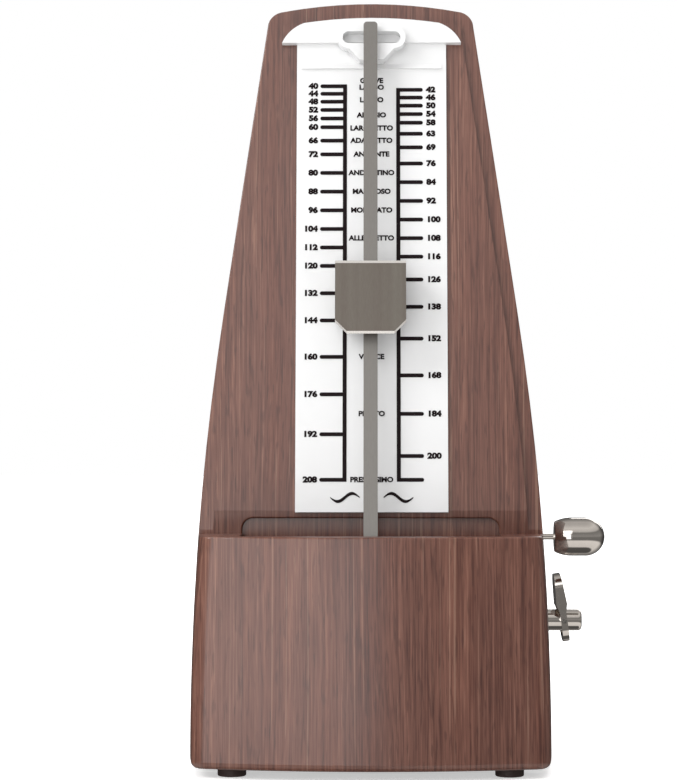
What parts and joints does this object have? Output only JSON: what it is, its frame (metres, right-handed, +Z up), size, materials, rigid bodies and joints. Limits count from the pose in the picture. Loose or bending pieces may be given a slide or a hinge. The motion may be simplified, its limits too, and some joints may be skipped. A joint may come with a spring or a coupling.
{
  "type": "mechanical metronome",
  "caption": "Pyramid mechanical metronome with its front cover off: a leaning pendulum with a sliding weight before a tempo scale, a winding key and a beat selector.",
  "frame": {"origin": "middle of the plane that the four feet stand on, under the case's centre", "axes": "+Z up, the front with the pendulum faces -Y, the winding key and the selector are on +X"},
  "size_m": [0.1201, 0.1035, 0.2213],
  "materials": {
    "walnut_case": "printed walnut grain under clear lacquer",
    "black_plastic": "moulded",
    "dark_feet": "matt",
    "white_plastic": "smooth",
    "nickel": "polished",
    "steel": "brushed",
    "brass": "satin",
    "zinc": "plated",
    "spring_steel": "blued"
  },
  "bodies": {
    "case": {"case_body": "walnut_case", "base_plate": "black_plastic", "feet": "dark_feet", "scale_plate": "white_plastic", "rod_clip": "white_plastic", "plate_left": "zinc", "plate_right": "zinc", "bushes": "brass", "pillars": "steel", "pillar_screws": "zinc", "front_bridge": "zinc", "rear_bridge": "zinc", "escape_cock": "brass", "click_screw": "zinc", "click_spring": "spring_steel", "detent_spring": "spring_steel", "bell": "nickel", "bell_post": "zinc", "base_screws": "zinc", "movement_screws": "zinc"},
    "pendulum": {"pendulum_rod": "steel", "pendulum_hub": "brass", "pendulum_arbor": "steel", "pallets": "steel", "counterweight": "brass", "counterweight_screw": "zinc"},
    "weight": {"weight_body": "steel", "weight_spring": "spring_steel"},
    "barrel_body": {"barrel": "brass", "barrel_cover": "brass", "mainspring": "spring_steel"},
    "second": {"second_arbor": "steel", "second_wheel": "brass", "beat_drum": "brass"},
    "escape": {"escape_arbor": "steel", "crown_wheel": "brass"},
    "winding": {"key_shaft": "nickel", "ratchet_wheel": "steel", "key_pin": "steel"},
    "wing": {"key_wing": "nickel"},
    "click_body": {"click": "steel"},
    "selector": {"selector_rod": "nickel", "selector_knob": "nickel", "hammer_collars": "brass", "hammer_spring": "spring_steel"},
    "hammer_body": {"hammer": "brass"}
  },
  "joints": [
    {"name": "pendulum_swing", "type": "hinge", "parent": "case", "child": "pendulum", "pos_m": [0, -0.032, 0.061], "axis": [0, 0.9889, -0.1483], "range_deg": [-40, 40]},
    {"name": "weight_slide", "type": "slide", "parent": "pendulum", "child": "weight", "axis": [0, 0.1483, 0.9889], "range_m": [-0.061, 0.0545]},
    {"name": "barrel_turn", "type": "hinge", "parent": "case", "child": "barrel_body", "pos_m": [0, 0.012, 0.0398], "axis": [1, 0, 0], "continuous": true, "deforming": ["mainspring"]},
    {"name": "second_turn", "type": "hinge", "parent": "case", "child": "second", "pos_m": [0, -0.00957, 0.04095], "axis": [1, 0, 0], "continuous": true},
    {"name": "escape_turn", "type": "hinge", "parent": "case", "child": "escape", "pos_m": [0, 0, 0.0562], "axis": [1, 0, 0], "continuous": true},
    {"name": "key_turn", "type": "hinge", "parent": "case", "child": "winding", "pos_m": [0, 0.012, 0.0398], "axis": [1, 0, 0], "continuous": true},
    {"name": "wing_fold", "type": "hinge", "parent": "winding", "child": "wing", "pos_m": [0.057, 0.012, 0.0398], "axis": [0, 1, 0], "range_deg": [-3, 30]},
    {"name": "click_lift", "type": "hinge", "parent": "case", "child": "click_body", "pos_m": [0.033, 0.022, 0.0506], "axis": [-1, 0, 0], "range_deg": [0, 12], "stiffness_Nm_per_rad": 0.002, "springref_deg": -5.73, "deforming": ["click_spring"]},
    {"name": "selector_pull", "type": "slide", "parent": "case", "child": "selector", "axis": [1, 0, 0], "range_m": [0, 0.008], "deforming": ["detent_spring"]},
    {"name": "hammer_rock", "type": "hinge", "parent": "selector", "child": "hammer_body", "pos_m": [0.00375, 0, 0.0649], "axis": [1, 0, 0], "range_deg": [0, 12], "stiffness_Nm_per_rad": 0.004, "springref_deg": -8.59, "deforming": ["hammer_spring"]}
  ],
  "couplings": [
    {"joint": "barrel_turn", "follows": "second_turn", "ratio": -0.2},
    {"joint": "escape_turn", "follows": "second_turn", "ratio": -4}
  ]
}
